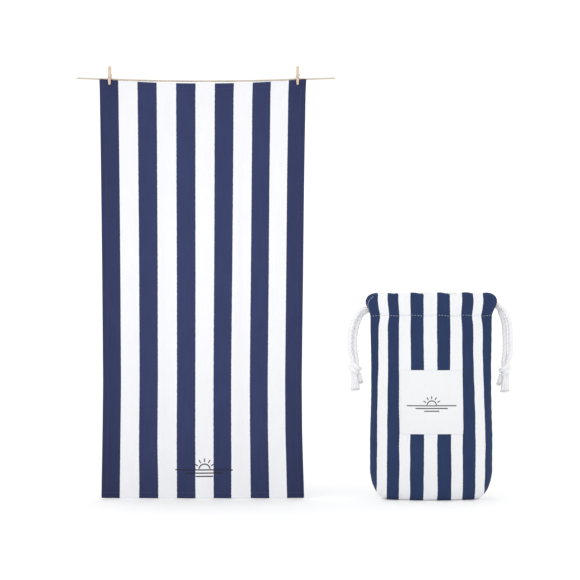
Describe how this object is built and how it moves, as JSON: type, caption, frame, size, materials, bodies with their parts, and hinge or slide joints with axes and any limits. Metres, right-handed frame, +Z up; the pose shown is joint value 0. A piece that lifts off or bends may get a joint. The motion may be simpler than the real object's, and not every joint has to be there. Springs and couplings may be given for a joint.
{
  "type": "quick dry towel",
  "caption": "Striped quick dry towel hung from a cord line by wooden spring pegs, with a matching drawstring pouch that stands beside it.",
  "frame": {"origin": "centre of the cord line at the middle of the towel's top edge", "axes": "+Z up, +X to the towel's right as seen from its front, the front faces -Y"},
  "size_m": [0.8322, 0.0946, 0.8254],
  "materials": {
    "line_cord": "twisted natural fibre, matt",
    "towel_navy_white": "brushed microfibre, navy and white stripes",
    "hem_cloth": "folded microfibre edge",
    "sewing_thread": "spun polyester thread",
    "peg_wood": "unfinished birch",
    "spring_wire": "drawn steel wire",
    "pouch_navy_white": "woven cotton, navy and white stripes",
    "pouch_lining": "woven cotton, inner side",
    "label_cloth": "smooth woven label",
    "cotton_cord": "soft twisted cotton"
  },
  "bodies": {
    "line": {"line_rope": "line_cord"},
    "towel": {"towel_cloth": "towel_navy_white", "towel_hem_top": "hem_cloth", "towel_hem_bottom": "hem_cloth", "towel_hem_left": "hem_cloth", "towel_hem_right": "hem_cloth", "towel_thread_top": "sewing_thread", "towel_thread_bottom": "sewing_thread", "peg_left_back_leg": "peg_wood", "peg_left_spring": "spring_wire", "peg_right_back_leg": "peg_wood", "peg_right_spring": "spring_wire"},
    "peg_left_jaw": {"peg_left_front_leg": "peg_wood", "peg_left_spring_arm": "spring_wire"},
    "peg_right_jaw": {"peg_right_front_leg": "peg_wood", "peg_right_spring_arm": "spring_wire"},
    "pouch": {"pouch_front_panel": "pouch_navy_white", "pouch_back_panel": "pouch_navy_white", "pouch_front_casing": "pouch_lining", "pouch_back_casing": "pouch_lining", "pouch_inner_seam": "pouch_lining", "pouch_front_casing_thread": "sewing_thread", "pouch_back_casing_thread": "sewing_thread", "pouch_label": "label_cloth", "pouch_label_thread": "sewing_thread"},
    "drawcord_left_body": {"drawcord_left": "cotton_cord", "drawcord_left_knot": "cotton_cord", "drawcord_left_tail_outer": "cotton_cord", "drawcord_left_tail_inner": "cotton_cord"},
    "drawcord_right_body": {"drawcord_right": "cotton_cord", "drawcord_right_knot": "cotton_cord", "drawcord_right_tail_outer": "cotton_cord", "drawcord_right_tail_inner": "cotton_cord"}
  },
  "joints": [
    {"name": "towel_swing", "type": "hinge", "parent": "line", "child": "towel", "pos_m": [0, 0, 0.0036], "axis": [1, 0, 0], "range_deg": [-60, 60]},
    {"name": "peg_left_open", "type": "hinge", "parent": "towel", "child": "peg_left_jaw", "pos_m": [-0.1786, -0.0016, 0.0107], "axis": [-1, 0, 0], "range_deg": [0, 14], "stiffness_Nm_per_rad": 0.08, "springref_deg": -20.05},
    {"name": "peg_right_open", "type": "hinge", "parent": "towel", "child": "peg_right_jaw", "pos_m": [0.1803, -0.0016, 0.0107], "axis": [-1, 0, 0], "range_deg": [0, 14], "stiffness_Nm_per_rad": 0.08, "springref_deg": -20.05},
    {"name": "pouch_lift", "type": "slide", "parent": "line", "child": "pouch", "axis": [0, 0, 1], "range_m": [0, 0.25]},
    {"name": "drawcord_left_pull", "type": "slide", "parent": "pouch", "child": "drawcord_left_body", "axis": [-1, 0, 0], "range_m": [0, 0.01]},
    {"name": "drawcord_right_pull", "type": "slide", "parent": "pouch", "child": "drawcord_right_body", "axis": [1, 0, 0], "range_m": [0, 0.01]}
  ]
}
